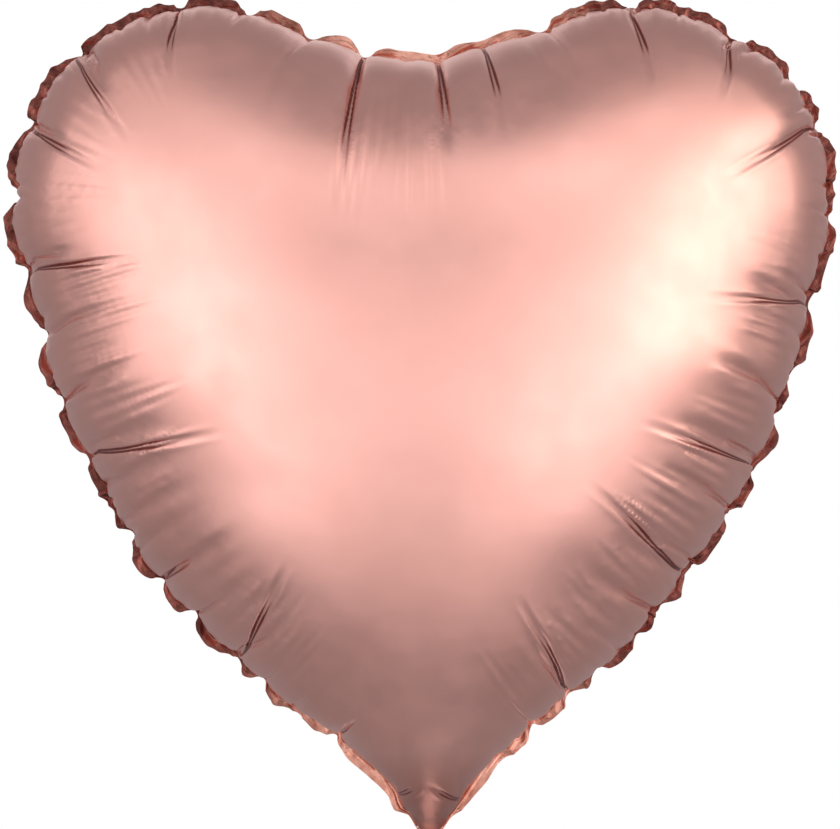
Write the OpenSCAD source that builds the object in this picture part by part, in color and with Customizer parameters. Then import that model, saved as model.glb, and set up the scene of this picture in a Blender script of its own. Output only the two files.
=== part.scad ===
// Heart-shaped foil balloon, inflated, with its tail folded up behind it.
// Origin: the neck, where the tail leaves the bottom of the heart, on the seam plane.
// +Z points up the heart, +X to its right and -Y out of its front.

/* [Heart outline] */
// Radius of each lobe, to the outer edge of the heat-sealed rim
lobe_r = 93; // [70:1:110]
// Distance between the centres of the two lobes
lobe_spacing = 190; // [170:1:195]
// Height of the lobe centres above the neck
lobe_z = 279; // [230:1:300]
// Height of the bottom of the cleft above the lobe centres
cleft_rise = 68; // [55:1:80]
// Radius of the rounded tip
tip_r = 18; // [14:0.5:24]

/* [Inflated panels] */
// Thickness of the whole balloon, front to rear, through its fullest point
depth = 216; // [120:1:230]
// Height above the neck of the fullest point
crown_z = 205; // [170:1:240]
// Stand-in thickness of one foil film
film_t = 0.4; // [0.3:0.1:0.8]

/* [Seam] */
// Width of the heat-sealed rim that shows outside the panels
flange_w = 5; // [3:0.5:9]
// Thickness of the heat-sealed rim
flange_t = 0.6; // [0.4:0.1:1]

/* [Filling valve] */
// Width of the flat valve and of the gap in the rim that it passes through
valve_w = 18; // [12:1:22]
// Height that the valve reaches inside the balloon
valve_rise = 110; // [60:5:140]
// Height of the heat-resistant print that keeps the valve from being sealed shut
print_h = 14; // [8:1:24]
// Gap between the two valve films, which the print fills
valve_gap = 0.1; // [0.05:0.05:0.2]

/* [Tail] */
// Width of the tail
tail_w = 26; // [22:1:34]
// Length of the tail from its fold to its mouth
tail_length = 52; // [30:1:80]
// Width of the tail where it leaves the neck
tail_root_w = 18; // [12:1:22]
// Length that the clear valve films stand out of the tail's mouth
valve_proud = 6; // [0:1:12]
// Angle that the folded tail turns back from hanging straight down
fold_angle = 130; // [100:1:132]
// Distance of the fold's axis behind the seam plane
fold_y = 1.5; // [1.4:0.1:2]
// Length of free film between the fold and the flat of the tail
fold_clear = 1.5; // [1.4:0.1:3]

/* [Hidden] */

foil = "#d89a8a";
sealed_foil = "#a85a48";
clear_film = "#e4e6e8";
print_white = "#f6f6f2";

// Points on one quarter of the fall from crown to rim, and along each part of the outline
rings = 13;
cleft_steps = 5;
lobe_steps = 26;
side_steps = 14;
tip_steps = 5;

half_depth = depth / 2;
half_flange = flange_t / 2;
half_gap = valve_gap / 2;
lobe_x = lobe_spacing / 2;

// The cleft is an arc that meets both lobes smoothly
cleft_r = (lobe_x * lobe_x + cleft_rise * cleft_rise - lobe_r * lobe_r) / (2 * (lobe_r - cleft_rise));
cleft_z = lobe_z + cleft_rise + cleft_r;
cleft_end = atan2(cleft_z - lobe_z, -lobe_x);

// The straight sides touch the lobes and the tip
side_run = norm([lobe_x, lobe_z - tip_r]);
side_angle = atan2(tip_r - lobe_z, -lobe_x) + acos((lobe_r - tip_r) / side_run);

// Fullness of the panel: 1 along a ray to the lobes is a half ellipse, the tip is leaner
lobe_power = [2, 0.5];
tip_power = [1.6, 0.8];
tip_spread = 8;

function arc(centre, r, from, to, steps) =
    [for (i = [0:steps]) centre + r * [cos(from + (to - from) * i / steps), sin(from + (to - from) * i / steps)]];

function between(a, b, steps) = [for (i = [1:steps - 1]) a + (b - a) * i / steps];

function last(points) = points[len(points) - 1];

// Right half of the heart from the bottom of the cleft to the tip, drawn inset from the outer edge
function half_outline(inset) =
    let (cleft = arc([0, cleft_z], cleft_r + inset, -90, cleft_end - 180, cleft_steps),
         lobe = arc([lobe_x, lobe_z], lobe_r - inset, cleft_end, side_angle, lobe_steps),
         tip = arc([0, tip_r], tip_r - inset, side_angle, -90, tip_steps))
    concat(cleft, [for (i = [1:lobe_steps]) lobe[i]], between(last(lobe), tip[0], side_steps), tip);

// Whole heart, clockwise from the bottom of the cleft
function outline(inset) =
    let (right = half_outline(inset), n = len(right))
    concat(right, [for (i = [n - 2:-1:1]) [-right[i][0], right[i][1]]]);

// Share of the half thickness at a fraction s of the way from the crown to the rim, along a ray
function fullness(s, ray) =
    let (lean = pow(max(0, -ray[1] / norm(ray)), tip_spread),
         power = lobe_power + (tip_power - lobe_power) * lean)
    pow(max(0, 1 - pow(s, power[0])), power[1]);

// Rings of points over one panel, from the rim to just short of the crown
function dome(inset, height) =
    [for (k = [0:rings - 1]) let (s = cos(90 * k / rings))
        for (p = outline(inset)) let (ray = p - [0, crown_z])
            [s * ray[0], half_flange + height * fullness(s, ray), crown_z + s * ray[1]]];

// Triangles between one ring and the next, over a whole dome and its crown point
function skin(n, first, crown, flip) =
    [for (k = [0:rings - 1]) for (i = [0:n - 1])
        let (a = first + k * n + i, b = first + k * n + (i + 1) % n, c = a + n, d = b + n)
        each k == rings - 1
            ? [flip ? [b, a, crown] : [a, b, crown]]
            : flip ? [[b, a, c], [b, c, d]] : [[a, b, c], [b, d, c]]];

// The annulus that rests on the rim, between the outer and the inner skin
function foot(n, first) =
    [for (i = [0:n - 1]) let (j = (i + 1) % n) each [[j, i, first + i], [j, first + i, first + j]]];

// One domed film, bulging towards +Y
module panel() {
    outer = dome(flange_w, half_depth - half_flange);
    inner = dome(flange_w + film_t, half_depth - half_flange - film_t);
    n = len(outer) / rings;
    count = len(outer);
    points = concat(outer, inner, [[0, half_depth, crown_z], [0, half_depth - film_t, crown_z]]);
    polyhedron(points, concat(skin(n, 0, 2 * count, false), skin(n, count, 2 * count + 1, true), foot(n, count)));
    neck_strip();
}

// Foil that carries the panel down over the valve, through the gap in the rim
module neck_strip() {
    translate([-valve_w / 2, half_flange, 0]) cube([valve_w, film_t, flange_w]);
}

// One flat film that hangs from the neck, from height high down to height low
module strip(width, near, thickness, low, high) {
    translate([-width / 2, near, low]) cube([width, thickness, high - low]);
}

// Turns a piece of the tail from hanging straight down to its folded place
module folded() {
    translate([0, fold_y, 0]) rotate([fold_angle, 0, 0]) translate([0, -fold_y, 0]) children();
}

// One foil of the tail: narrow at the fold, then shoulders out to its full width
module tail_foil(near) {
    shoulder = tail_w - tail_root_w;
    translate([0, near + film_t, 0]) rotate([90, 0, 0]) linear_extrude(film_t) polygon([
        [-tail_root_w / 2, -fold_clear], [tail_root_w / 2, -fold_clear],
        [tail_w / 2, -fold_clear - shoulder], [tail_w / 2, -tail_length],
        [-tail_w / 2, -tail_length], [-tail_w / 2, -fold_clear - shoulder]]);
}

module front_panel() {
    color(foil) mirror([0, 1, 0]) panel();
}

module rear_panel() {
    color(foil) panel();
}

// The two films fused together round the heart, open only where the valve passes
module seam_flange() {
    color(sealed_foil) difference() {
        translate([0, half_flange, 0]) rotate([90, 0, 0]) linear_extrude(flange_t) difference() {
            polygon(outline(0));
            polygon(outline(flange_w + film_t));
        }
        translate([-valve_w / 2, -flange_t, -tip_r]) cube([valve_w, 2 * flange_t, 2 * tip_r]);
    }
}

module valve_front_film() {
    color(clear_film) strip(valve_w, -half_flange, half_flange - half_gap, 0, valve_rise);
}

module valve_rear_film() {
    color(clear_film) strip(valve_w, half_gap, half_flange - half_gap, 0, valve_rise);
}

module valve_release_print() {
    color(print_white) strip(valve_w, -half_gap, valve_gap, 0, print_h);
}

module tail_front_film() {
    color(foil) folded() tail_foil(-half_flange - film_t);
}

module tail_rear_film() {
    color(foil) folded() tail_foil(half_flange);
}

module tail_valve_front() {
    color(clear_film) folded()
        strip(valve_w, -half_flange, half_flange - half_gap, -tail_length - valve_proud, -fold_clear);
}

module tail_valve_rear() {
    color(clear_film) folded()
        strip(valve_w, half_gap, half_flange - half_gap, -tail_length - valve_proud, -fold_clear);
}

front_panel();
rear_panel();
seam_flange();
valve_front_film();
valve_rear_film();
valve_release_print();
tail_front_film();
tail_rear_film();
tail_valve_front();
tail_valve_rear();
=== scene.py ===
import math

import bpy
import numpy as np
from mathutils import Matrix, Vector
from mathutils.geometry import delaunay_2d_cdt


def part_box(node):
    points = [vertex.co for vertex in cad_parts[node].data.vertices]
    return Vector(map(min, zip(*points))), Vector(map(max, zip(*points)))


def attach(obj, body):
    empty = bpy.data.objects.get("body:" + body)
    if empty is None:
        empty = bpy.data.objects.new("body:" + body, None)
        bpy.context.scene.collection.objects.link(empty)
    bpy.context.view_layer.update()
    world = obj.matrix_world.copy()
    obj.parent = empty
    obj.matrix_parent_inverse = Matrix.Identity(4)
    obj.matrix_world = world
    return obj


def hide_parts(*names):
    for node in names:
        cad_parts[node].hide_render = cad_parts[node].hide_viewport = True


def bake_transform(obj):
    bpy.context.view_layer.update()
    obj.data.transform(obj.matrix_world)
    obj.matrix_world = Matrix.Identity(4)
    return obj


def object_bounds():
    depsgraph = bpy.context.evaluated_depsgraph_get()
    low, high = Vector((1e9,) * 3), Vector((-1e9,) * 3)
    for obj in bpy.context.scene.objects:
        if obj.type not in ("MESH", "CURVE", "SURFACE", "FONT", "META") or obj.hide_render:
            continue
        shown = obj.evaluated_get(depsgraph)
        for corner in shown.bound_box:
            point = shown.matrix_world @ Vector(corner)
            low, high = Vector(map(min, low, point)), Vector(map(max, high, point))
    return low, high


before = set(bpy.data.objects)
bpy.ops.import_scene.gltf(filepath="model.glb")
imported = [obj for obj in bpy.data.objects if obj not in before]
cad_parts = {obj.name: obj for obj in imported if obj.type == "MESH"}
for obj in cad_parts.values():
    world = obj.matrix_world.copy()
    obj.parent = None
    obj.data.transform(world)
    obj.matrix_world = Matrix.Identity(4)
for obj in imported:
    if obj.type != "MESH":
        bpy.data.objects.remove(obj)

# Heart-shaped foil balloon: the looks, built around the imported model's fixed frame.
#
# Two flat heart-shaped films are sealed together and blown up by a small film solver. On coarse meshes the
# film only resists stretching. On finer ones it also resists squeezing, so its surplus gathers into tucks at
# the rim.

CAD_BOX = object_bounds()
MM = 0.001
CHUNK = 1000                # points whose distances are measured at once

# ---- Flat pattern in metres, seen from the front, with its middle near the origin ----
LOBE_R = 0.135              # radius of each lobe
LOBE_CENTRE = (0.090, 0.090)
LOBE_FROM, LOBE_TO = 97, -8  # where the lobe's arc starts and ends, degrees
CLEFT_Z = 0.2175            # bottom of the cleft
CLEFT_HANDLES = (0.015, 0.014)
SIDE_HANDLES = (0.134, 0.150)
NECK_X = 0.0255             # half width of the neck where the side meets it
NECK_RISE = 0.012
NECK_SLOPE = 25             # slope of the side at the neck, degrees below level
TIP_Z = -0.212              # bottom of the neck
SEAM_POINTS = 400           # points round the seam that distances are measured to
SEAL_W = 7 * MM             # width of the heat-sealed rim
MOUTH_HALF = 7 * MM         # half width of the neck's mouth, which has no sealed rim

# ---- Film solver: each stage is (push of the gas in metres per step squared, steps) ----
BASE_EDGE = 10 * MM         # edge of the coarsest mesh, halved at each level
GRID_CLEAR, RING_CLEAR = 1.45, 0.75  # least distance of its inner points from the seam, in edges
START_PUFF = 0.2            # how far the flat films start apart, as a share of the distance to the seam
MOMENTUM = 0.9              # share of its last move that a point keeps
SLACK_LEVELS = [[(3e-5, 400), (1e-5, 300), (3e-6, 200)], [(3e-6, 200), (1e-6, 100)]]
FIRM_LEVELS = [[(3e-6, 250), (2e-6, 200)], [(2e-6, 120)]]
FIRMNESS = 0.9              # share of any squeezing that the fine film resists
STIFFNESS = 0.02            # resistance to bending
GATHER = 1e-5               # pull that draws the film in along a tuck, metres per step squared
GATHER_SHARE = 0.08         # the same pull along the heart's own plane, as a share
TUCK_WIDTHS = (2.6 * MM, 1.5 * MM)  # width of that pull at each firm level
SPREAD = 2e-6               # pull that keeps the sealed rim standing out
UPRIGHT = 0.005             # pull of the sealed rim back to the seam plane
NECK_PULL = 1e-5            # pull of the flat tail on the neck
NECK_REACH = 10 * MM
ROUGHNESS = 0.2 * MM        # random start of the fine folds
RAISED_MOST = 0.03          # how far a new point may be raised off its edge, as a share of its length
FINE_BAND = 56 * MM         # distance from the seam that gets the finest mesh

# ---- Tucks: clock angle about the heart's middle (degrees, 0 to the right, 90 up), length seen from the
# front in millimetres (below 0 at the neck, where the film does not stand edge-on), pull, depth of the
# crease, and lean from the rim's normal (degrees, anticlockwise) ----
MAIN_TUCKS = [
    (16.5, 32, 0.3, 0.7, 14), (36.5, 27, 0.35, 0.65, 10), (50.5, 18, 0.35, 0.65, 12),
    (62.5, 21, 0.4, 0.7, 0), (80.5, 30, 0.12, 0.7, -4), (87, 35, 0.12, 0.75, 0),
    (98.5, 50, 0.5, 0.9, 3), (120.5, 18, 0.2, 0.65, -8), (133, 25, 0.35, 0.65, -10),
    (143, 23, 0.35, 0.65, -6), (159.5, 35, 0.35, 0.85, -12), (186.5, 42, 0.3, 0.85, -14),
    (211.5, 10, 0.4, 0.55, 0), (231.5, 33, 0.3, 0.85, 13), (255, 3, 0.3, 0.45, 10),
    (264.7, -3, 0.1, 0.7, 0), (274.8, -1, 0.1, 0.8, 0), (298, 31, 0.3, 0.85, -12),
    (330.5, 42, 0.3, 0.85, -5), (351.5, 39, 0.3, 0.85, 3),
]
SHOULDER = 32 * MM          # film beside the seam that stands edge-on to the front view
UNROLLED = 1.5              # length along the film for each length seen, beyond that shoulder
MINOR_PITCH = 8.5           # spacing of the small tucks between them, degrees
MINOR_LENGTH = (12, 30)     # millimetres
MINOR_PULL = (0.8, 1.4)     # as a share of its two neighbours' mean

# ---- Creases pressed along the tucks ----
CREASE_BANDS = (6.5 * MM, 3.6 * MM)  # the mesh is cut finer within each of these of a crease
CREASE_FROM = (8 * MM, 16 * MM)  # distance from the seam over which a crease starts
CREASE_SHARE = 0.95         # share of a tuck's length that is a sharp line
LINE_WIDTH, LINE_DEPTH = 0.42 * MM, 0.9 * MM
LINE_APART = 1.05 * MM      # from the middle of a crease to each of its two lines
LIP_HEIGHT = 0.35 * MM
VALLEY_WIDTH, VALLEY_DEPTH = 1.7 * MM, 0.55 * MM
RIDGE_HEIGHT = 0.4 * MM

# ---- Fine ripples: from and to clock angle, nearest and furthest distance from the seam in millimetres,
# and height as a share ----
RIPPLE_PITCH = 5.4 * MM
RIPPLE_DEPTH = 70 * MM      # distance from the seam at which they have that pitch
RIPPLE_HEIGHT = 0.32 * MM
RIPPLES = [
    (160.5, 185, 50, 100, 1.2), (188, 197, 52, 94, 0.9), (148, 158, 46, 82, 0.7), (135, 142, 44, 88, 0.5),
    (122, 132, 46, 84, 0.4), (88, 98, 62, 125, 0.9), (78, 86, 50, 90, 0.3), (332, 350.5, 52, 98, 1.5),
    (321, 329.5, 54, 96, 0.8), (353, 360, 48, 84, 0.9), (0, 5, 48, 80, 0.7), (8, 15.5, 46, 84, 1.1),
    (18, 25, 44, 80, 0.5), (222, 230.5, 50, 88, 0.9), (232.5, 241, 50, 88, 0.6), (299, 307, 48, 86, 0.8),
    (288, 297, 46, 80, 0.6), (307, 320, 50, 84, 0.3),
]

SEED = 11                   # of every random draw

# ---- Outline, rim and neck, corrected after the film has been blown up ----
NECK_LEAN = 6 * MM          # how far the neck stands to the right of the heart's middle
SWELLS = [                  # side, height and reach as shares, and the shift to the right in millimetres
    (1, 0.56, 0.07, 3), (1, 0.30, 0.07, -6), (1, 0.17, 0.05, -2.5), (1, 0.88, 0.06, 4), (-1, 0.42, 0.04, 2),
    (-1, 0.54, 0.05, -2.5), (-1, 0.27, 0.05, 1), (-1, 0.12, 0.05, -4), (-1, 0.92, 0.04, -1.5),
]
SWELL_FULL = 70 * MM        # distance from the middle line beyond which all of that shift applies
RIM_TAPER = 10 * MM         # length over which the rim narrows towards the neck's mouth
RIM_LEFT = 0.25             # share of its width left there
NOTCH_TAPER, NOTCH_REACH = 2.0, 13 * MM  # how much a tuck's pull narrows the rim, and over what length
RIM_FLATTEN = 0.5           # share of the rim's waviness to front and rear that is kept
RIM_SHOWN = 0.72            # share of the sealed rim's width that stands out
RIM_BLUR = 8 * MM           # how far the outline is smoothed to find which way the rim stands out
NECK_BULGE, NECK_REAR_BULGE, NECK_BULGE_HALF = 7.5 * MM, 3.5 * MM, 13 * MM
NECK_ROUND = 2.6 * MM       # how much higher the sides of the neck's mouth are than its middle
NECK_ROUND_TOP = 16 * MM
NECK_BULGE_TOP = (10 * MM, 55 * MM)  # where that bulge of the neck runs out
OUTLINE_STEPS = 2000        # points that the outline is sampled at
OUTLINE_REACH = 11 * MM     # how far it is smoothed
OUTLINE_FILL = 0.5          # share of the way back to the smooth outline
OUTLINE_DEPTH = 50 * MM     # distance from the seam over which the film moves with it

# ---- The tail, folded up behind the neck, and the valve ----
FOLD_ANGLE = 130            # degrees back from hanging straight down
FOLD_R = 1.5 * MM           # from the fold's axis to the film
TAIL_LENGTH = 50.5 * MM     # beyond the fold
TAIL_ROOT_W, TAIL_W = 13 * MM, 26 * MM
TAIL_SHOULDER = (7 * MM, 26 * MM)  # where it widens, measured down the tail
TAIL_SEAL = 3.5 * MM        # width of its sealed sides
VALVE_W = 18 * MM
VALVE_PROUD = 6 * MM        # how far the clear valve stands out of the tail
VALVE_FROM = 18 * MM        # where the clear valve starts inside the tail
VALVE_GAP = 0.3 * MM
PRINT_INSET = 3 * MM        # from the valve's sides to its print
VALVE_SWAY = 0.8 * MM       # how far the inner valve wanders off the seam plane
TUBE_ROWS, TUBE_COLUMNS = 160, 41
TAIL_WAVE = 0.25 * MM
TAIL_SETTLE = (5 * MM, 16 * MM)  # where its waves and its full thickness start, measured down the tail
MOUTH_BLEND = (1 * MM, 10 * MM)  # where it turns from the mouth's curve to its own
SEALED_GAP = 0.05 * MM      # from the middle surface to each film where they are sealed
TAIL_PUFF, VALVE_PUFF = 0.5 * MM, 0.2 * MM  # how far each film stands off the middle surface elsewhere
VALVE_SEAL = 2 * MM
INNER_FROM = 1 * MM         # height above the mouth at which the inner valve starts
CRIMP_PITCH, CRIMP_HEIGHT = 2.2 * MM, 0.1 * MM

# ---- Finishes, with painted light and shade on the foils: linear colours and ranges of roughness ----
SATIN_DEEP, SATIN_PALE = (0.80, 0.405, 0.345, 1), (0.84, 0.435, 0.375, 1)
SATIN_ROUGHNESS = (0.36, 0.42)
# darker, redder copper at the bottom of the neck: partly the film's deeper copper, partly painted shade where
# less light comes from below
NECK_COPPER_AND_SHADE, NECK_COPPER_AND_SHADE_SHARE = (0.43, 0.14, 0.10, 1), 0.9
NECK_COPPER_AND_SHADE_HEIGHTS = (8 * MM, 40 * MM)  # the neck's darker copper, partly its own deeper tone and partly painted shade, fades out between these heights
CREASE_SHADE_TONE, CREASE_SHADE_SHARE = (0.24, 0.058, 0.048, 1), 0.92  # painted shade along the lines of the creases
# Painted light on the sealed rim: lit copper near the heart's middle line, where the rim catches the front
# lights, and painted shade in dark brown at its sides
LIT_SEAL_COPPER = (0.36, 0.13, 0.09, 1), (0.70, 0.34, 0.26, 1)
SHADED_SEAL_BROWN = (0.07, 0.02, 0.017, 1), (0.20, 0.062, 0.048, 1)
LIT_TO_SHADED_SEAL_REACH = (35 * MM, 85 * MM)  # distance from the middle line over which the painted lit copper turns to painted shaded brown
SEAL_ROUGHNESS = (0.14, 0.26)
CLEAR_TINTS = (0.86, 0.88, 0.9, 1), (0.97, 0.98, 1.0, 1)
PRINT_TINTS = (0.93, 0.93, 0.91, 1), (0.82, 0.82, 0.8, 1)
FLOOR_TINTS = (0.80, 0.80, 0.80, 1), (0.84, 0.84, 0.84, 1)

# ---- Studio: softboxes as name, azimuth, elevation, distance, width, height, brightness ----
SOFTBOXES = [
    ("key_softbox", 62, 11, 1.6, 1.1, 1.2, 2.4),
    ("key_upper_softbox", 45, 40, 1.6, 1.1, 1.1, 0.72),
    ("fill_softbox", -57, 8, 1.6, 1.3, 1.4, 1.35),
    ("fill_upper_softbox", -45, 40, 1.6, 1.1, 1.1, 0.56),
    ("front_softbox", 0, -2, 1.9, 1.3, 1.4, 0.82),
    ("front_right_softbox", 32, -8, 1.8, 1.0, 1.6, 1.5),
    ("front_left_softbox", -32, -8, 1.8, 1.0, 1.6, 1.05),
    ("low_softbox", 0, -38, 1.8, 2.4, 0.9, 0.48),
    ("low_right_softbox", 52, -28, 1.6, 0.8, 0.8, 0.6),
    ("low_left_softbox", -52, -32, 1.6, 0.8, 0.8, 0.5),
    ("neck_softbox", 180, -78, 0.43, 0.12, 0.25, 0.7),
    ("top_softbox", 0, 45, 1.6, 1.6, 1.1, 0.75),
    ("rear_softbox", 180, 20, 2.0, 1.8, 1.4, 0.7),
]
KEY_TINT = (1.0, 0.99, 0.93)
ROOM_COLOUR = (0.93, 0.95, 1.0, 1)
ROOM_LEVELS = (-0.7, 0.3, 0.36, 0.40)  # height of the direction from and to, and the brightness there
FLOOR_HALF, FLOOR_Z = 1.5, -0.3
CAMERA_DISTANCE = 1.6
CAMERA_VIEW = 840 / 833     # width of the picture as a share of the balloon's
CAMERA_RISE = 0.5 * MM


def bezier(a, b, c, d, count):
    """Points along a cubic curve, without its end point."""
    u = np.linspace(0, 1, count, endpoint=False)[:, None]
    a, b, c, d = (np.array(p, float) for p in (a, b, c, d))
    return (1 - u) ** 3 * a + 3 * (1 - u) ** 2 * u * b + 3 * (1 - u) * u * u * c + u ** 3 * d


def unit(degrees):
    """The direction at that angle."""
    return np.array([math.cos(math.radians(degrees)), math.sin(math.radians(degrees))])


def heart_loop(count):
    """The flat pattern's seam, clockwise from the cleft, as evenly spaced points, or its length for None."""
    centre = np.array(LOBE_CENTRE)
    start, end = centre + LOBE_R * unit(LOBE_FROM), centre + LOBE_R * unit(LOBE_TO)
    neck = np.array([NECK_X, TIP_Z + NECK_RISE])
    along_side = -unit(NECK_SLOPE)
    angles = np.radians(np.linspace(LOBE_FROM, LOBE_TO, 200, endpoint=False))
    right = np.vstack([
        bezier((0, CLEFT_Z), (CLEFT_HANDLES[0], CLEFT_Z), start + CLEFT_HANDLES[1] * unit(LOBE_FROM + 90),
               start, 60),
        centre + LOBE_R * np.stack([np.cos(angles), np.sin(angles)], 1),
        bezier(end, end + SIDE_HANDLES[0] * unit(LOBE_TO - 90), neck - SIDE_HANDLES[1] * along_side,
               neck, 200),
        bezier(neck, neck + NECK_RISE / 2 * along_side, (NECK_X / 2, TIP_Z), (0, TIP_Z), 40),
    ])
    left = right[:0:-1] * (-1, 1)
    loop = np.vstack([right, [[0, TIP_Z]], left, right[:1]])
    run = np.concatenate([[0], np.cumsum(np.linalg.norm(np.diff(loop, axis=0), axis=1))])
    if count is None:
        return run[-1]
    at = np.linspace(0, run[-1], count, endpoint=False)
    return np.stack([np.interp(at, run, loop[:, k]) for k in (0, 1)], 1)


def inside(points, loop):
    """Whether each point lies inside a closed loop."""
    x, z = points[:, :1], points[:, 1:]
    a, b = loop, np.roll(loop, 1, 0)
    crosses = (a[:, 1] > z) != (b[:, 1] > z)
    slope = (b[:, 0] - a[:, 0]) / np.where(b[:, 1] == a[:, 1], 1e-12, b[:, 1] - a[:, 1])
    return (crosses & (x < a[:, 0] + slope * (z - a[:, 1]))).sum(1) % 2 == 1


def shares_round(loop):
    """How far round a closed loop each of its points lies, as a share, with 1 at the end."""
    run = np.cumsum(np.linalg.norm(np.roll(loop, -1, 0) - loop, axis=1))
    return np.concatenate([[0], run / run[-1]])


def nearest_on_loop(points, loop):
    """Distance from each point to a closed loop, and the place on it as a share of the way round."""
    step = np.roll(loop, -1, 0) - loop
    shares = shares_round(loop)
    distance, place = np.empty(len(points)), np.empty(len(points))
    for first in range(0, len(points), CHUNK):
        part = points[first:first + CHUNK, None]
        t = np.clip(((part - loop) * step).sum(-1) / (step * step).sum(-1), 0, 1)
        gap = np.linalg.norm(part - loop - t[..., None] * step, axis=-1)
        best = gap.argmin(1)
        rows = np.arange(len(best))
        distance[first:first + CHUNK] = gap[rows, best]
        place[first:first + CHUNK] = shares[best] + t[rows, best] * (shares[best + 1] - shares[best])
    return distance, place


def nearest_on_seam(flat):
    """Distance from each point of the flat films to the seam, and its place as a share of the way round."""
    return nearest_on_loop(flat, heart_loop(SEAM_POINTS))


def outward_normals(loop):
    """Unit vectors square to a clockwise loop, pointing out of it."""
    along = np.roll(loop, -1, 0) - np.roll(loop, 1, 0)
    along /= np.linalg.norm(along, axis=1)[:, None]
    return np.stack([-along[:, 1], along[:, 0]], 1)


def wind_up(flat, faces):
    """Turn every triangle of the flat pattern the same way round."""
    a, b, c = (flat[faces[:, k]] for k in range(3))
    area = (b[:, 0] - a[:, 0]) * (c[:, 1] - a[:, 1]) - (b[:, 1] - a[:, 1]) * (c[:, 0] - a[:, 0])
    faces[area < 0] = faces[area < 0][:, [0, 2, 1]]
    return faces


FRONT, REAR, SEAL = 0, 1, 2


def flat_films():
    """The two films laid flat on each other: triangles of the front, the rear and the sealed rim.

    The first points are the seam, which both films share, and the last ones the rim's outer edge.
    """
    count = int(round(heart_loop(None) / BASE_EDGE))
    loop = heart_loop(count)
    normals = outward_normals(loop)
    row = BASE_EDGE * math.sqrt(0.75)
    columns = np.arange(loop[:, 0].min(), loop[:, 0].max(), BASE_EDGE)
    levels = np.arange(loop[:, 1].min(), loop[:, 1].max(), row)
    grid = np.array([(x + BASE_EDGE / 2 * (k % 2), z) for k, z in enumerate(levels) for x in columns])
    grid = grid[inside(grid, loop)]
    grid = grid[nearest_on_loop(grid, loop)[0] > GRID_CLEAR * BASE_EDGE]
    ring = loop - row * normals
    ring = (ring + np.roll(ring, 1, 0)) / 2
    ring = ring[(nearest_on_loop(ring, loop)[0] > RING_CLEAR * BASE_EDGE) & inside(ring, loop)]
    points = [Vector(p) for p in np.vstack([loop, ring, grid])]
    border = [(i, (i + 1) % count) for i in range(count)]
    found, _, faces, *_ = delaunay_2d_cdt(points, border, [], 1, 1e-7)
    film = np.array([tuple(p) for p in found])
    front = wind_up(film, np.array([tuple(f) for f in faces]))
    rear = np.where(front < count, front, front + len(film) - count)[:, ::-1]
    edge = len(film) * 2 - count
    i = np.arange(count)
    j = (i + 1) % count
    flat = np.vstack([film, film[count:], loop + SEAL_W * normals])
    seal = np.vstack([np.stack([i, edge + i, j], 1), np.stack([j, edge + i, edge + j], 1)])
    seal = wind_up(flat, seal)
    one_film = np.ones(len(film) - count)
    side = np.concatenate([np.zeros(count), -one_film, one_film, np.zeros(count)])
    return {
        "flat": flat,
        "faces": np.vstack([front, rear, seal]),
        "part": np.repeat([FRONT, REAR, SEAL], [len(front), len(rear), len(seal)]),
        "side": side,
        "seam": i,
    }


def edges_of(faces):
    """Every edge once, and the three edges of each triangle."""
    pairs = np.sort(np.vstack([faces[:, [0, 1]], faces[:, [1, 2]], faces[:, [2, 0]]]), axis=1)
    key = pairs[:, 0].astype(np.int64) * (faces.max() + 1) + pairs[:, 1]
    _, first, inverse = np.unique(key, return_index=True, return_inverse=True)
    return pairs[first], inverse.reshape(3, -1).T


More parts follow.
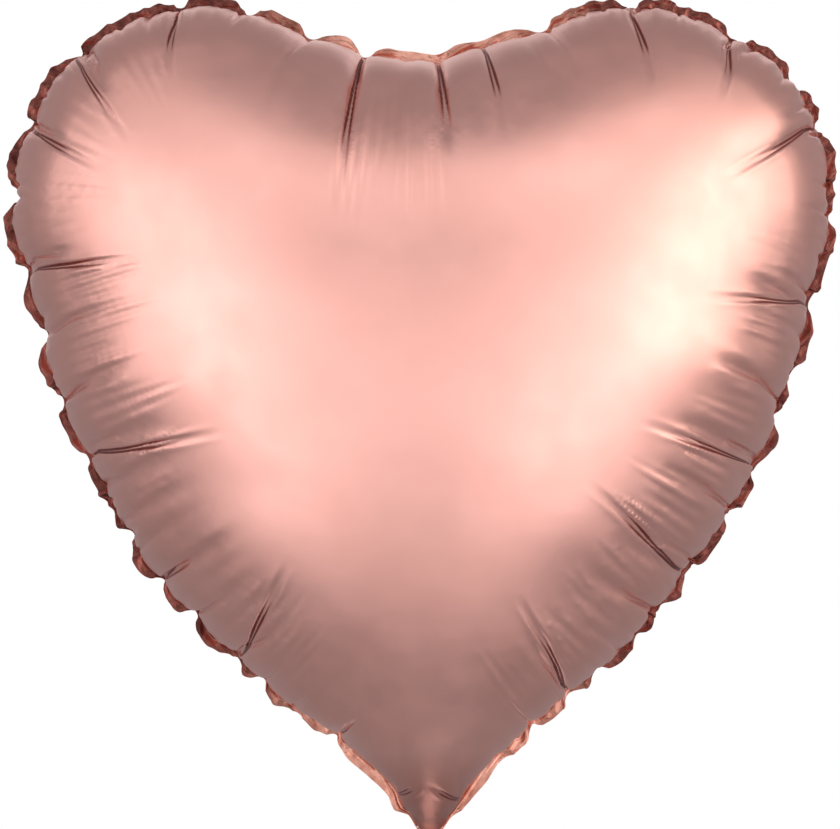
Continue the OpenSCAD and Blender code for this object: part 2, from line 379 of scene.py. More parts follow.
def refined(films, x, chosen=None, curved=False):
    """Cut the chosen triangles into four, their neighbours as needed, and carry the points' places along.

    Where the film is curved, a new point is raised off its edge to keep the surface smooth.
    """
    faces = films["faces"]
    edges, of_face = edges_of(faces)
    cut = np.zeros(len(edges), bool)
    cut[of_face if chosen is None else of_face[chosen]] = True
    while True:
        count = cut[of_face].sum(1)
        if not (count == 2).any():
            break
        cut[of_face[count == 2]] = True
    number = np.full(len(edges), -1)
    number[cut] = len(x) + np.arange(cut.sum())
    middle = number[of_face]
    whole, once, four = count == 0, count == 1, count == 3
    a, b, c = faces[four].T
    ab, bc, ca = middle[four].T
    quarters = [np.stack(t, 1) for t in ((a, ab, ca), (ab, b, bc), (ca, bc, c), (ab, bc, ca))]
    turn = middle[once].argmax(1)
    rows = np.arange(once.sum())
    p, q, r = (faces[once][rows, (turn + k) % 3] for k in range(3))
    m = middle[once][rows, turn]
    halves = [np.stack([p, m, r], 1), np.stack([m, q, r], 1)]
    part = films["part"]
    seam = films["seam"]
    keys = edges.astype(np.int64) @ [len(x), 1]
    wanted = np.sort(np.stack([seam, np.roll(seam, -1)], 1), axis=1) @ [len(x), 1]
    seam = np.stack([seam, number[np.searchsorted(keys, wanted)]], 1).ravel()
    seam = seam[seam >= 0]
    split = edges[cut]
    side = np.sign(films["side"][split].sum(1))
    side[np.prod(films["side"][split], axis=1) < 0] = 0
    middles = x[split].mean(1)
    if curved:
        blown = faces[films["part"] != SEAL]
        ends = normals_of(blown, x)[split] * (films["side"][split] != 0).all(1)[:, None, None]
        span = x[split[:, 1]] - x[split[:, 0]]
        tilt = (ends * span[:, None]).sum(-1, keepdims=True) * ends
        raised = (tilt[:, 1] - tilt[:, 0]) / 8
        raised_by = np.maximum(np.linalg.norm(raised, axis=1), 1e-12)
        most = RAISED_MOST * np.linalg.norm(span, axis=1) / raised_by
        middles += raised * np.minimum(1, most)[:, None]
    return {
        "flat": np.vstack([films["flat"], films["flat"][split].mean(1)]),
        "faces": np.vstack([faces[whole]] + quarters + halves),
        "part": np.concatenate([part[whole], np.tile(part[four], 4), np.tile(part[once], 2)]),
        "side": np.concatenate([films["side"], side]),
        "seam": seam,
    }, np.vstack([x, middles])


def normals_of(faces, x):
    """Unit normal at each point, weighted by the area of its faces."""
    a, b, c = (x[faces[:, k]] for k in range(3))
    normal = np.repeat(np.cross(b - a, c - a), 3, axis=0)
    total = np.stack([np.bincount(faces.ravel(), normal[:, k], len(x)) for k in range(3)], 1)
    return total / np.maximum(np.linalg.norm(total, axis=1), 1e-12)[:, None]


def edge_groups(edges, count):
    """Split the edges into groups that share no point, so that each group can be set right at once."""
    taken = [0] * count
    group = []
    for a, b in edges.tolist():
        both = taken[a] | taken[b]
        free = ~both & (both + 1)
        group.append(free.bit_length() - 1)
        taken[a] |= free
        taken[b] |= free
    group = np.array(group)
    return [np.flatnonzero(group == g) for g in range(group.max() + 1)]


class Film:
    """A thin film under gas pressure, moved by position-based steps."""

    def __init__(self, films, x):
        self.films, self.x, self.v = films, x.copy(), np.zeros_like(x)
        self.edges, _ = edges_of(films["faces"])
        flat = films["flat"]
        rest = np.linalg.norm(flat[self.edges[:, 0]] - flat[self.edges[:, 1]], axis=1)
        groups = edge_groups(self.edges, len(x))
        self.groups = [(self.edges[g, 0], self.edges[g, 1], rest[g]) for g in groups]
        self.degree = np.bincount(self.edges.ravel(), minlength=len(x))[:, None]
        self.blown = films["faces"][films["part"] != SEAL]
        a, b, c = (flat[films["faces"][:, k]] for k in range(3))
        area = (b[:, 0] - a[:, 0]) * (c[:, 1] - a[:, 1]) - (b[:, 1] - a[:, 1]) * (c[:, 0] - a[:, 0])
        area = np.abs(area) / 6
        self.area = np.bincount(films["faces"].ravel(), np.repeat(area, 3), len(x))[:, None]

    def gathered(self, index, values):
        """Sum the values at each point."""
        return np.stack([np.bincount(index, values[:, k], len(self.x)) for k in range(3)], 1)

    def pressure(self):
        """Area-weighted outward normal of the blown film at each point, per flat area."""
        a, b, c = (self.x[self.blown[:, k]] for k in range(3))
        normal = np.repeat(np.cross(b - a, c - a) / 6, 3, axis=0)
        return self.gathered(self.blown.ravel(), normal) / self.area

    def unevenness(self):
        """How far each point's neighbours lie from it on average."""
        a, b = self.edges.T
        d = self.x[b] - self.x[a]
        return (self.gathered(a, d) - self.gathered(b, d)) / self.degree

    def run(self, push, steps, firm=0.0, stiff=0.0, pull=None):
        """Move the film so many steps, setting its edges' lengths right forwards and backwards in each."""
        for step in range(steps):
            if step % 2 == 0:
                pressure = self.pressure()
            move = push * pressure
            if stiff:
                move += stiff * self.unevenness()
            if pull is not None:
                move += pull(self, pressure)
            old = self.x.copy()
            self.x += MOMENTUM * self.v + move
            for groups in (self.groups, self.groups[::-1]):
                for a, b, rest in groups:
                    d = self.x[b] - self.x[a]
                    length = np.sqrt((d * d).sum(1))
                    excess = (length - rest) / np.maximum(length, 1e-12)
                    d *= (np.where(excess > 0, excess, firm * excess) / 2)[:, None]
                    self.x[a] += d
                    self.x[b] -= d
            self.v = self.x - old


def planned_tucks(draw):
    """The main tucks with small ones between them: angle, front and rear length, pull, crease, lean."""
    tucks = []
    ahead = MAIN_TUCKS[1:] + [(MAIN_TUCKS[0][0] + 360, *MAIN_TUCKS[0][1:])]
    for (angle, length, pull, crease, lean), following in zip(MAIN_TUCKS, ahead):
        unrolled = SHOULDER + UNROLLED * length * MM
        tucks.append((angle, unrolled, unrolled * draw.uniform(0.7, 1.1), pull, crease, lean))
        gap = following[0] - angle
        count = round(gap / MINOR_PITCH)
        for k in range(1, count):
            between = angle + gap * (k + draw.uniform(-0.2, 0.2)) / count
            lengths = draw.uniform(*MINOR_LENGTH, 2) * MM
            tucks.append((between, *lengths, draw.uniform(*MINOR_PULL) * (pull + following[2]) / 2, 0, 0))
    return tucks


def clock_of(points, middle):
    """Clock angle of each point about the middle, in degrees."""
    return np.degrees(np.arctan2(points[:, 2] - middle[2], points[:, 0] - middle[0])) % 360


def tuck_lines(films, x, tucks):
    """For each tuck: its start as a share of the way round the seam, and every point's distance from the
    seam and aside from the tuck on the flat film. A tuck only leans where it faces the front."""
    flat, seam = films["flat"], films["seam"]
    loop = flat[seam]
    normals = outward_normals(loop)
    clock = clock_of(x[seam], (x.max(0) + x.min(0)) / 2)
    shares = shares_round(loop)
    for angle, *_, lean in tucks:
        start = np.abs((clock - angle + 180) % 360 - 180).argmin()
        inward = -normals[start]
        away = flat - loop[start]
        deep = away @ inward
        drift = math.tan(math.radians(lean)) * np.maximum(deep - SHOULDER, 0) / UNROLLED
        yield shares[start], deep, away @ np.array([-inward[1], inward[0]]) - drift


def tuck_weights(films, x, tucks, width):
    """How strongly each point is drawn in along the tucks."""
    total = np.zeros(len(x))
    for (_, *lengths, strength, _, _), (_, deep, aside) in zip(tucks, tuck_lines(films, x, tucks)):
        for side, length in zip((-1, 1), lengths):
            fade = np.clip(1 - deep / (1.15 * length), 0, 1) ** 0.5
            weight = strength * np.exp(-(aside / width) ** 2) * fade * (deep > -1.5 * SEAL_W)
            on = films["side"] != -side
            total[on] = np.maximum(total[on], weight[on])
    return total[:, None]


def blow_up():
    """Inflate the two films, and return them with their points' places and their tucks."""
    draw = np.random.default_rng(SEED)
    films = flat_films()
    gap, _ = nearest_on_seam(films["flat"])
    x = np.stack([films["flat"][:, 0], START_PUFF * films["side"] * gap, films["flat"][:, 1]], 1)
    for level, stages in enumerate(SLACK_LEVELS):
        if level:
            films, x = refined(films, x)
        film = Film(films, x)
        for push, steps in stages:
            film.run(push, steps)
        x = film.x
    middle = (x.max(0) + x.min(0)) / 2
    tucks = planned_tucks(draw)
    x = x + draw.normal(size=x.shape) * ROUGHNESS
    for level, stages in enumerate(FIRM_LEVELS):
        near = nearest_on_seam(films["flat"][films["faces"]].mean(1))[0]
        films, x = refined(films, x, near < (FINE_BAND if level else 1))
        film = Film(films, x)
        weight = tuck_weights(films, x, tucks, TUCK_WIDTHS[level])
        beyond = np.where(films["side"] == 0, nearest_on_seam(films["flat"])[0], 0)
        beyond = beyond[:, None] / SEAL_W
        neck = np.exp(-((films["flat"] - (0, TIP_Z)) ** 2).sum(1) / NECK_REACH ** 2)[:, None]

        def pull(film, pressure):
            out = pressure / np.maximum(np.linalg.norm(pressure, axis=1), 1e-9)[:, None]
            outward = (film.x - middle) * (1, 0, 1)
            outward /= np.linalg.norm(outward, axis=1)[:, None]
            move = -GATHER * weight * (out + GATHER_SHARE * outward) + SPREAD * beyond * outward
            move += NECK_PULL * neck * (0, 0.15, -1)
            move[:, 1:2] -= UPRIGHT * (beyond + neck) * film.x[:, 1:2]
            return move

        for push, steps in stages:
            film.run(push, steps, FIRMNESS, STIFFNESS, pull)
        x = film.x
    return films, x, tucks


def smooth_step(value, start, end):
    """0 up to the start, 1 from the end, and a smooth rise between."""
    t = np.clip((value - start) / (end - start), 0, 1)
    return t * t * (3 - 2 * t)


def crease_profile(deep, aside, length, strength):
    """Depth of a crease, and how much shade is painted on it: two sharp lines near the rim, that run out in a
    soft valley between two ridges."""
    line_end = CREASE_SHARE * length
    apart = LINE_APART * np.clip(deep / line_end, 0.25, 1)
    line = np.exp(-((np.abs(aside) - apart) / LINE_WIDTH) ** 2)
    line *= 1 - smooth_step(deep, 0.8 * line_end, 1.1 * line_end)
    lip = np.exp(-((aside - apart - 2.6 * LINE_WIDTH) / (2 * LINE_WIDTH)) ** 2)
    lip *= 1 - smooth_step(deep, 0.9 * line_end, 1.3 * line_end)
    soft = smooth_step(deep, 0.5 * line_end, line_end) * (1 - smooth_step(deep, 0.9 * length, 1.3 * length))
    valley = np.exp(-(aside / VALLEY_WIDTH) ** 2) * soft
    ridges = np.exp(-((np.abs(aside) - 1.8 * VALLEY_WIDTH) / (0.8 * VALLEY_WIDTH)) ** 2) * soft
    depth = LINE_DEPTH * line - LIP_HEIGHT * lip + VALLEY_DEPTH * valley - RIDGE_HEIGHT * ridges
    shown = smooth_step(deep, *CREASE_FROM)
    return depth * strength * shown, line * shown * min(1, 1.3 * strength)


def creased(films, x, tucks):
    """Cut the mesh finer along the tucks, and press their creases into it. Also gives each point's share of
    the shade painted along a crease's lines."""
    for reach in CREASE_BANDS:
        near = np.zeros(len(films["faces"]), bool)
        for (_, *lengths, _, strength, _), (_, deep, aside) in zip(tucks, tuck_lines(films, x, tucks)):
            if not strength:
                continue
            close = (np.abs(aside) < reach) & (deep > CREASE_FROM[0]) & (deep < 1.2 * max(lengths))
            near |= close[films["faces"]].any(1) & (films["part"] != SEAL)
        films, x = refined(films, x, near, curved=True)
    depth, folds = np.zeros(len(x)), np.zeros(len(x))
    for (_, *lengths, _, strength, _), (_, deep, aside) in zip(tucks, tuck_lines(films, x, tucks)):
        if not strength:
            continue
        for side, length in zip((-1, 1), lengths):
            pressed, dark = crease_profile(deep, aside, length, strength)
            pressed = pressed * (films["side"] == side)
            depth = np.where(np.abs(pressed) > np.abs(depth), pressed, depth)
            folds = np.maximum(folds, dark * (films["side"] == side))
    return films, x - depth[:, None] * normals_of(films["faces"][films["part"] != SEAL], x), folds


def rippled(films, x, draw):
    """Add the fine parallel ripples that stand square to the rim where the film is squeezed along it."""
    loop = heart_loop(SEAM_POINTS)
    inner = loop - RIPPLE_DEPTH * outward_normals(loop)
    step = np.linalg.norm(np.roll(inner, -1, 0) - inner, axis=1)
    run = np.concatenate([[0], np.cumsum(step)]) / RIPPLE_PITCH
    seam_clock = np.unwrap(clock_of(x[films["seam"]], (x.max(0) + x.min(0)) / 2), period=360)
    seam_shares = shares_round(films["flat"][films["seam"]])[:-1]

    def strengths(flat):
        distance, place = nearest_on_seam(flat)
        along = np.interp(place, shares_round(loop), run)
        clock = np.interp(place, seam_shares, seam_clock) % 360
        height = np.zeros(len(flat))
        reach = 1 + 0.12 * np.sin(1.7 * along) + 0.1 * np.sin(0.61 * along + 2)
        for start, end, near, far, share in RIPPLES:
            among = smooth_step(clock, start - 1, start + 1.5)
            among = among * (1 - smooth_step(clock, end - 1.5, end + 1))
            band = smooth_step(distance, near * MM * 0.85, near * MM * 1.15)
            band = band * (1 - smooth_step(distance, far * MM * 0.75 * reach, far * MM * reach))
            height = np.maximum(height, share * among * band)
        return height, along

    size = np.linalg.norm(films["flat"][films["faces"][:, 0]] - films["flat"][films["faces"][:, 1]], axis=1)
    active = strengths(films["flat"][films["faces"]].mean(1))[0] > 0.05
    films, x = refined(films, x, active & (size > BASE_EDGE / 6) & (films["part"] != SEAL), curved=True)
    height, along = strengths(films["flat"])
    ridges = int(run[-1]) + 2
    uneven = np.interp(along, np.arange(ridges), draw.uniform(0.6, 1.0, ridges))
    knots = np.arange(0, ridges + 5, 5)
    drift = np.interp(along, knots, np.cumsum(draw.normal(0, 0.2, len(knots))))
    lift = RIPPLE_HEIGHT * height * uneven * np.cos(2 * math.pi * (along + drift)) * np.abs(films["side"])
    return films, x + lift[:, None] * normals_of(films["faces"][films["part"] != SEAL], x)


# ---- Materials ----
def shader(name, **inputs):
    """A new node material, and a function that adds a node to it with its values and links set."""
    material = bpy.data.materials.new(name)
    material.use_nodes = True
    tree = material.node_tree
    principled = tree.nodes["Principled BSDF"]
    for key, value in inputs.items():
        principled.inputs[key.replace("_", " ")].default_value = value

    def found(made, socket):
        """The node's input of that name that is in use: a Mix node has one for each type."""
        return next(one for one in made.inputs if one.name == socket and one.enabled)

    def node(kind, links=(), values=(), **settings):
        made = tree.nodes.new("ShaderNode" + kind)
        for key, value in settings.items():
            setattr(made, key, value)
        for socket, value in dict(values).items():
            found(made, socket).default_value = value
        for socket, source in dict(links).items():
            tree.links.new(source, found(made, socket))
        return made

    def wire(source, socket):
        tree.links.new(source, principled.inputs[socket])

    return material, node, wire


def noise(node, place, scale, detail=2.0, roughness=0.5):
    """Cloudy noise from 0 to 1 on the object."""
    values = {"Scale": scale, "Detail": detail, "Roughness": roughness}
    return node("TexNoise", {"Vector": place}, values).outputs["Fac"]


def mapped(node, source, low, high, start=0.35, end=0.65):
    """The source's values from start to end, stretched to run from low to high."""
    values = {"From Min": start, "From Max": end, "To Min": low, "To Max": high}
    return node("MapRange", {"Value": source}, values).outputs["Result"]


def bump(node, height, distance, strength=1.0, below=None):
    """A normal from a height, on top of another bump's where there is one below."""
    links = {"Height": height}
    if below is not None:
        links["Normal"] = below
    return node("Bump", links, {"Distance": distance, "Strength": strength}).outputs["Normal"]


def mixed(node, share, one, other):
    """The colour between two colours, each given as a value or as another node's output."""
    links, values = {"Factor": share}, {}
    for socket, colour in (("A", one), ("B", other)):
        (values if isinstance(colour, tuple) else links)[socket] = colour
    made = node("Mix", links, values, data_type="RGBA")
    return next(result for result in made.outputs if result.enabled)


def satin_foil():
    """Satin metallised film: a fine even grain, slightly cloudy, with faint marks from handling. Its colour
    also holds painted shade along the crease lines, and a darker copper at the neck that is partly painted
    shade.
    """
    material, node, wire = shader("satin_foil_with_painted_shade", Metallic=1.0)
    place = node("TexCoord").outputs["Object"]
    cloud = noise(node, place, 22, 3)
    shade = mixed(node, mapped(node, cloud, 0, 1), SATIN_DEEP, SATIN_PALE)
    height = node("SeparateXYZ", {"Vector": place}).outputs["Z"]
    # darker copper towards the bottom of the neck, partly painted shade
    neck = mapped(node, height, NECK_COPPER_AND_SHADE_SHARE, 0, *NECK_COPPER_AND_SHADE_HEIGHTS)
    # painted shade along the crease lines
    folds = mapped(node, node("Attribute", attribute_name="fold").outputs["Fac"], 0, CREASE_SHADE_SHARE, 0.1, 0.6)
    wire(mixed(node, folds, mixed(node, neck, shade, NECK_COPPER_AND_SHADE), CREASE_SHADE_TONE), "Base Color")
    wire(mapped(node, noise(node, place, 60, 2), *SATIN_ROUGHNESS), "Roughness")
    grain = noise(node, place, 2600, 2, 0.7)
    handled = noise(node, place, 45, 3, 0.6)
    normal = bump(node, handled, 0.25 * MM, 0.25)
    wire(bump(node, grain, 0.04 * MM, 0.5, normal), "Normal")
    return material


def sealed_foil():
    """The heat-sealed rim and tail: glossier, crinkled by the seal, with painted light: bright copper near
    the heart's middle line, and painted shade in brown out at its sides."""
    material, node, wire = shader("sealed_foil_with_painted_light", Metallic=1.0)
    place = node("TexCoord").outputs["Object"]
    patch = mapped(node, noise(node, place, 90, 3, 0.6), 0, 1)
    across = node("SeparateXYZ", {"Vector": place}).outputs["X"]
    aside = node("Math", {}, {}, operation="ABSOLUTE")
    aside.id_data.links.new(across, aside.inputs[0])
    # painted light and shade: lit copper near the middle line, turning to shaded brown further out
    outer = mapped(node, aside.outputs["Value"], 0, 1, *LIT_TO_SHADED_SEAL_REACH)
    copper, brown = mixed(node, patch, *LIT_SEAL_COPPER), mixed(node, patch, *SHADED_SEAL_BROWN)
    wire(mixed(node, outer, copper, brown), "Base Color")
    wire(mapped(node, noise(node, place, 200, 2), *SEAL_ROUGHNESS), "Roughness")
    creased_seal = noise(node, place, 160, 3, 0.55)
    fine = noise(node, place, 900, 2, 0.6)
    normal = bump(node, creased_seal, 0.6 * MM, 0.35)
    wire(bump(node, fine, 0.06 * MM, 0.5, normal), "Normal")
    return material


def clear_film():
    """Thin clear plastic, slightly cloudy where it has been creased."""
    material, node, wire = shader("clear_film_finish", Transmission_Weight=0.9, IOR=1.5)
    place = node("TexCoord").outputs["Object"]
    cloud = noise(node, place, 180, 4, 0.6)
    wire(mixed(node, mapped(node, cloud, 0, 1), *CLEAR_TINTS), "Base Color")
    wire(mapped(node, cloud, 0.06, 0.28), "Roughness")
    wire(bump(node, noise(node, place, 420, 3), 0.15 * MM, 0.5), "Normal")
    return material


def release_print():
    """The matte print that keeps the valve's lips from sealing, with the grain of a coarse screen."""
    material, node, wire = shader("release_print_finish")
    place = node("TexCoord").outputs["Object"]
    dots = node("TexVoronoi", {"Vector": place}, {"Scale": 1400.0, "Randomness": 0.1}, feature="F1")
    share = mapped(node, dots.outputs["Distance"], 0, 1, 0.2, 0.5)
    wire(mixed(node, share, *PRINT_TINTS), "Base Color")
    wire(mapped(node, noise(node, place, 500, 2), 0.65, 0.85), "Roughness")
    wire(bump(node, dots.outputs["Distance"], 0.05 * MM, 0.5), "Normal")
    return material


def floor_paint():
    """Plain pale paint, slightly cloudy."""
    material, node, wire = shader("floor_paint")
    place = node("TexCoord").outputs["Object"]
    wire(mixed(node, mapped(node, noise(node, place, 3, 2), 0, 1), *FLOOR_TINTS), "Base Color")
    wire(mapped(node, noise(node, place, 12, 2), 0.7, 0.85), "Roughness")
    return material


# ---- Pieces ----
def piece(name, points, faces, material, *replaced, folds=None):
    """A smooth-shaded mesh that stands for CAD nodes, without the points that no face uses."""
    used, number = np.unique(faces, return_inverse=True)
    mesh = bpy.data.meshes.new(name)
    mesh.from_pydata(points[used].tolist(), [], number.reshape(faces.shape).tolist())
    mesh.polygons.foreach_set("use_smooth", [True] * len(mesh.polygons))
    if folds is not None:
        # each point's share of the shade painted along the crease lines
        mesh.attributes.new("fold", "FLOAT", "POINT").data.foreach_set("value", folds[used])
    mesh.materials.append(material)
    made = bpy.data.objects.new(name, mesh)
    bpy.context.collection.objects.link(made)
    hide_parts(*replaced)
    return made


def placed(films, x):
    """The film in the shared frame: as wide as the CAD model, with the bottom of its neck at the origin."""
    low, high = x.min(0), x.max(0)
    moved = x * (CAD_BOX[1][0] - CAD_BOX[0][0]) / (high[0] - low[0])
    up = (moved[:, 2] - moved[:, 2].min()) / np.ptp(moved[:, 2])
    moved[:, 0] += NECK_LEAN * (1 - up) ** 2
    for side, height, reach, shift in SWELLS:
        share = np.exp(-((up - height) / reach) ** 2) * smooth_step(side * moved[:, 0], 0, SWELL_FULL)
        moved[:, 0] += shift * MM * share
    mouth = mouth_curve(films, moved)
    return moved - (*mouth.mean(0)[:2], mouth[:, 2].min())


def outline_of(films, x):
    """Evenly spaced shares of the way round the seam, and the seam's places there."""
    closed = np.append(films["seam"], films["seam"][0])
    steps = np.linspace(0, 1, OUTLINE_STEPS, endpoint=False)
    shares = shares_round(films["flat"][films["seam"]])
    return steps, np.stack([np.interp(steps, shares, x[closed, k]) for k in range(3)], 1)


def blurred(steps, outline, reach):
    """The closed outline, smoothed over that reach."""
    gap = np.minimum(steps, 1 - steps) * heart_loop(None)
    window = np.fft.fft(np.exp(-(gap / reach) ** 2))
    return np.fft.ifft(np.fft.fft(outline, axis=0) * (window / window[0])[:, None], axis=0).real


def sampled(place, steps, values):
    """Values round the seam, read off at other places on it."""
    return np.stack([np.interp(place, steps, values[:, k], period=1) for k in range(values.shape[1])], 1)


def tapered_rim(films, x, tucks):
    """Stand the sealed rim out square to the seam, narrower at each notch and towards the neck's mouth,
    where it turns back into the tail."""
    distance, place = nearest_on_seam(films["flat"])
    length = heart_loop(None)
    keep = RIM_LEFT + (1 - RIM_LEFT) * smooth_step(np.abs(place - 0.5) * length - MOUTH_HALF, 0, RIM_TAPER)
    for (*_, strength, _, _), (start, _, _) in zip(tucks, tuck_lines(films, x, tucks)):
        gap = np.abs((place - start + 0.5) % 1 - 0.5) * length
        left = 1 - min(0.9, NOTCH_TAPER * strength)
        keep = np.minimum(keep, left + (1 - left) * smooth_step(gap, 0, NOTCH_REACH))
    steps, outline = outline_of(films, x)
    anchor = sampled(place, steps, outline)
    square = sampled(place, steps, outward_normals(blurred(steps, outline, RIM_BLUR)[:, [0, 2]]))
    out = np.insert(square * (distance * RIM_SHOWN)[:, None], 1, (x - anchor)[:, 1] * RIM_FLATTEN, axis=1)
    out *= keep[:, None]
    return np.where(((films["side"] == 0) & (distance > 0.2 * MM))[:, None], anchor + out, x)


def filled_notches(films, x):
    """Draw the outline part of the way back to a smooth one, where the tucks have pulled it into scallops."""
    distance, place = nearest_on_seam(films["flat"])
    steps, outline = outline_of(films, x)
    keep = OUTLINE_FILL * smooth_step(np.abs(steps - 0.5) * heart_loop(None), 20 * MM, 50 * MM)
    move = (blurred(steps, outline, OUTLINE_REACH) - outline) * keep[:, None] * (1, 0, 1)
    share = 1 - smooth_step(distance, 10 * MM, OUTLINE_DEPTH)
    return x + sampled(place, steps, move) * share[:, None]


def rounded_neck(films, x):
    """Round the neck out to front and rear, as the gas does where the film is narrow."""
    across = np.clip(1 - (x[:, 0] / NECK_BULGE_HALF) ** 2, 0, 1)
    share = smooth_step(x[:, 2], 0.5 * MM, 9 * MM) * (1 - smooth_step(x[:, 2], *NECK_BULGE_TOP))
    corner = np.clip(x[:, 0] / MOUTH_HALF, -1.3, 1.3) ** 2
    corner = corner * (1 - smooth_step(x[:, 2], 2 * MM, NECK_ROUND_TOP))
    rounded = x.copy()
    bulge = np.where(films["side"] < 0, -NECK_BULGE, NECK_REAR_BULGE * films["side"])
    rounded[:, 1] += bulge * across * share
    rounded[:, 2] += NECK_ROUND * corner
    return rounded


def mouth_curve(films, x):
    """The seam's points at the mouth of the neck, from left to right."""
    seam = films["seam"]
    at_mouth = (np.abs(films["flat"][seam][:, 0]) <= MOUTH_HALF) & (films["flat"][seam][:, 1] < 0)
    found = x[seam[at_mouth]]
    return found[np.argsort(found[:, 0])]


def along_curve(curve, share):
    """Points of a curve at shares from -1 to 1 of its width."""
    at = np.linspace(-1, 1, len(curve))
    return np.stack([np.interp(share, at, curve[:, k]) for k in range(3)], -1)


def tail_place(across, down, lift):
    """A point of the folded tail: across it, down it from the mouth, and lifted off its middle surface."""
    turn = math.radians(FOLD_ANGLE)
    angle = np.minimum(down / FOLD_R, turn)
    beyond = np.maximum(down - turn * FOLD_R, 0)
    y = FOLD_R - (FOLD_R + lift) * np.cos(angle) + beyond * math.sin(turn)
    z = -(FOLD_R + lift) * np.sin(angle) - beyond * math.cos(turn)
    return np.stack([across, y, z], -1)


def tail_half_width(down):
    """Half width of the tail's foil that far down it."""
    return TAIL_ROOT_W / 2 + (TAIL_W - TAIL_ROOT_W) / 2 * smooth_step(down, *TAIL_SHOULDER)


def valve_half_width(down):
    """Half width of the clear valve, the same all the way."""
    return VALVE_W / 2 * np.ones_like(down)


def tail_tube(half_width, puff, seal, reach, waves, curve=None):
    """A flat tube down the tail from the mouth's curve, whose two films touch at its sealed sides."""
    down = np.linspace(*reach, TUBE_ROWS)
    share = np.linspace(-1, 1, TUBE_COLUMNS)
    films = []
    for side, across_share in ((1, share), (-1, share[-2:0:-1])):
        d, s = np.meshgrid(down, across_share, indexing="ij")
        half = half_width(d)
        loose = smooth_step(half * (1 - np.abs(s)), seal * 0.7, seal * 1.6)
        settled = smooth_step(d, *TAIL_SETTLE)
        wavy = sum(w[0] * np.sin(d / (6 + 4 * k) / MM + 3 * w[1] + s * w[2]) for k, w in enumerate(waves))
        crimp = CRIMP_HEIGHT * np.sin(2 * math.pi * d / CRIMP_PITCH) * (1 - loose) * settled
        lift = side * (SEALED_GAP + puff * loose * (0.3 + 0.7 * settled))
        lift = lift + TAIL_WAVE * wavy * settled + crimp
        points = tail_place(s * half, d, lift)
        if curve is not None:
            root = along_curve(curve, s) - tail_place(s * half_width(np.zeros_like(d)), np.zeros_like(d), 0)
            points += root * (1 - smooth_step(d, *MOUTH_BLEND))[..., None]
        films.append(points)
    ring = np.concatenate(films, axis=1)
    count = ring.shape[1]
    corner = np.arange(len(down) - 1)[:, None] * count + np.arange(count)
    following = np.arange(len(down) - 1)[:, None] * count + (np.arange(count) + 1) % count
    faces = np.stack([corner, following, following + count, corner + count], -1).reshape(-1, 4)
    return ring.reshape(-1, 3), faces


def inner_strip(half_width, low, high, lift, curve):
    """A strip that stands in the balloon above its neck, with its foot along the mouth's curve."""
    share, up = np.linspace(-1, 1, 15), np.linspace(0, 1, 60)
    u, s = np.meshgrid(up, share, indexing="ij")
    foot = along_curve(curve, s * min(1, half_width / (MOUTH_HALF * 1.05)))
    top = np.stack([s * half_width, VALVE_SWAY * np.sin(u * 5 + s * 0.7), u * (high - low) + low], -1)
    rise = smooth_step(u, 0, 0.15)[..., None]
    points = top * rise + (foot + np.stack([0 * u, 0 * u, u * (high - low) + low], -1)) * (1 - rise)
    points[..., 1] += lift
    corner = (np.arange(len(up) - 1)[:, None] * len(share) + np.arange(len(share) - 1)).reshape(-1, 1)
    return points.reshape(-1, 3), corner + np.array([0, 1, len(share) + 1, len(share)])


# ---- Build the balloon ----
films, shape, tucks = blow_up()
draw = np.random.default_rng(SEED + 1)
films, shape = rippled(films, shape, draw)
films, shape, folds = creased(films, shape, tucks)
shape = filled_notches(films, tapered_rim(films, shape, tucks))
shape = rounded_neck(films, placed(films, shape))
mouth = mouth_curve(films, shape)
faces, part = films["faces"], films["part"]
corners = films["flat"][faces]
at_mouth = (np.abs(corners[:, :, 0]).max(1) < MOUTH_HALF) & (corners[:, :, 1].max(1) < 0)

satin, sealed, clear, print_ink = satin_foil(), sealed_foil(), clear_film(), release_print()
front = piece("front_film", shape, faces[part == FRONT], satin, "front_panel", folds=folds)
rear = piece("rear_film", shape, faces[part == REAR], satin, "rear_panel", folds=folds)
rim = piece("sealed_rim", shape, faces[(part == SEAL) & ~at_mouth], sealed, "seam_flange")

valve_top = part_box("valve_front_film")[1].z
for name, lift in (("valve_front_film", -VALVE_GAP), ("valve_rear_film", VALVE_GAP)):
    strip = inner_strip(VALVE_W / 2, INNER_FROM, valve_top, lift, mouth)
    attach(piece("inner_" + name, *strip, clear, name), "envelope")
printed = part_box("valve_release_print")
strip = inner_strip(VALVE_W / 2 - PRINT_INSET, printed[0].z, printed[1].z, 0, mouth)
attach(piece("inner_release_print", *strip, print_ink, "valve_release_print"), "envelope")
for made in (front, rear, rim):
    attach(made, "envelope")

waves = draw.normal(size=(3, 3))
fold_run = math.radians(FOLD_ANGLE) * FOLD_R
tail_end = fold_run + TAIL_LENGTH
tube = tail_tube(tail_half_width, TAIL_PUFF, TAIL_SEAL, (0, tail_end), waves, mouth)
tail = piece("tail_foil", *tube, sealed, "tail_front_film", "tail_rear_film")
valve_reach = (VALVE_FROM, tail_end + VALVE_PROUD)
tube = tail_tube(valve_half_width, VALVE_PUFF, VALVE_SEAL, valve_reach, waves)
lips = piece("tail_valve", *tube, clear, "tail_valve_front", "tail_valve_rear")
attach(lips, "tail")
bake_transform(tail)


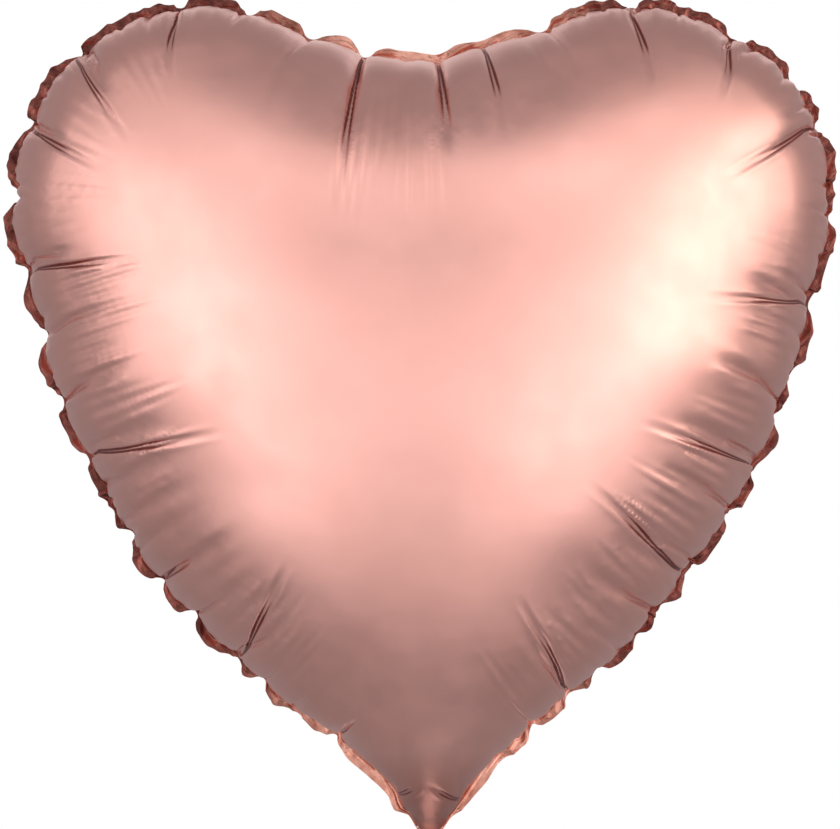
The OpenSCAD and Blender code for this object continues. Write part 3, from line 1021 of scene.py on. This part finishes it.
# ---- Studio ----
def softbox(name, azimuth, elevation, distance, width, height, radiance, aim):
    """An area light at an angle round the object, given by how bright it looks."""
    light = bpy.data.lights.new(name, "AREA")
    light.shape = "RECTANGLE"
    light.size, light.size_y = width, height
    light.energy = radiance * math.pi * width * height
    light.color = KEY_TINT if name.startswith("key") else (1, 1, 1)
    made = bpy.data.objects.new(name, light)
    bpy.context.collection.objects.link(made)
    a, e = math.radians(azimuth), math.radians(elevation)
    away = Vector((math.sin(a) * math.cos(e), -math.cos(a) * math.cos(e), math.sin(e)))
    made.location = aim + away * distance
    made.rotation_euler = (-away).to_track_quat("-Z", "Y").to_euler()
    made.visible_camera = False
    return made


def studio_world():
    """White behind the object for the camera, and a dimmer grey room for everything else."""
    world = bpy.data.worlds.new("studio")
    bpy.context.scene.world = world
    world.use_nodes = True
    tree = world.node_tree
    room = tree.nodes["Background"]
    room.inputs["Color"].default_value = ROOM_COLOUR
    direction = tree.nodes.new("ShaderNodeTexCoord")
    height = tree.nodes.new("ShaderNodeSeparateXYZ")
    level = tree.nodes.new("ShaderNodeMapRange")
    for socket, value in zip(("From Min", "From Max", "To Min", "To Max"), ROOM_LEVELS):
        level.inputs[socket].default_value = value
    tree.links.new(direction.outputs["Generated"], height.inputs["Vector"])
    tree.links.new(height.outputs["Z"], level.inputs["Value"])
    tree.links.new(level.outputs["Result"], room.inputs["Strength"])
    backdrop = tree.nodes.new("ShaderNodeBackground")
    backdrop.inputs["Color"].default_value = (1, 1, 1, 1)
    path = tree.nodes.new("ShaderNodeLightPath")
    mix = tree.nodes.new("ShaderNodeMixShader")
    tree.links.new(path.outputs["Is Camera Ray"], mix.inputs["Fac"])
    tree.links.new(room.outputs["Background"], mix.inputs[1])
    tree.links.new(backdrop.outputs["Background"], mix.inputs[2])
    tree.links.new(mix.outputs["Shader"], tree.nodes["World Output"].inputs["Surface"])


def floor():
    """A plain pale floor well below the balloon."""
    corners = [(x * FLOOR_HALF, y * FLOOR_HALF, FLOOR_Z) for x, y in ((-1, -1), (1, -1), (1, 1), (-1, 1))]
    mesh = bpy.data.meshes.new("floor")
    mesh.from_pydata(corners, [], [(0, 1, 2, 3)])
    mesh.materials.append(floor_paint())
    made = bpy.data.objects.new("floor", mesh)
    made.visible_glossy = False
    bpy.context.collection.objects.link(made)


low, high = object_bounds()
middle = (Vector(low) + Vector(high)) / 2
for row in SOFTBOXES:
    softbox(*row, middle)
studio_world()
floor()
bpy.context.scene.view_settings.view_transform = "Standard"

camera = bpy.data.cameras.new("camera")
camera.sensor_width = 36
camera.lens = camera.sensor_width * CAMERA_DISTANCE / (CAMERA_VIEW * (CAD_BOX[1][0] - CAD_BOX[0][0]))
view = bpy.data.objects.new("camera", camera)
bpy.context.collection.objects.link(view)
view.location = ((low[0] + high[0]) / 2, -CAMERA_DISTANCE, (low[2] + high[2]) / 2 + CAMERA_RISE)
view.rotation_euler = (math.radians(90), 0, 0)
bpy.context.scene.camera = view
